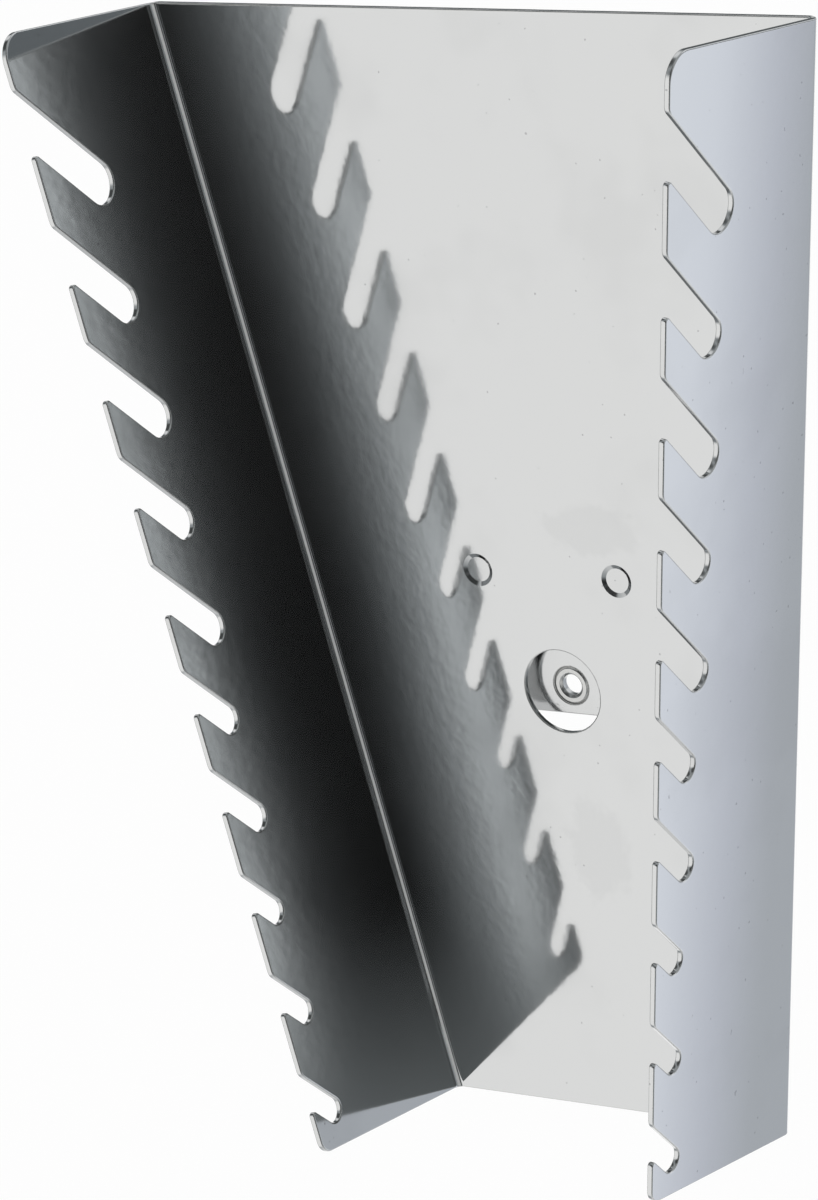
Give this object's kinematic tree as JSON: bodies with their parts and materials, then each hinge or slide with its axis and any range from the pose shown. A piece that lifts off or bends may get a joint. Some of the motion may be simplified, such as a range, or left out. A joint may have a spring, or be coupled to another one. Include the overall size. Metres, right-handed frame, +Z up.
{
  "type": "wrench rack",
  "caption": "Tapered folded sheet-metal rack that hangs on a perforated panel and holds combination wrenches across its slotted flanges.",
  "frame": {"origin": "axis of the locking nut, in the plane of the perforated panel that the bracket bears on", "axes": "+Z up as it hangs, -Y out of the panel towards the open side of the rack, +X to the right seen from the front"},
  "size_m": [0.1798, 0.0701, 0.2777],
  "materials": {
    "plated_sheet": "bright plated sheet, softly mirroring",
    "bracket_sheet": "bright plated sheet, softly mirroring",
    "nut_steel": "plated, turned"
  },
  "bodies": {
    "root": {"rack_body": "plated_sheet", "panel_bracket": "bracket_sheet", "press_nut": "nut_steel"}
  },
  "joints": []
}
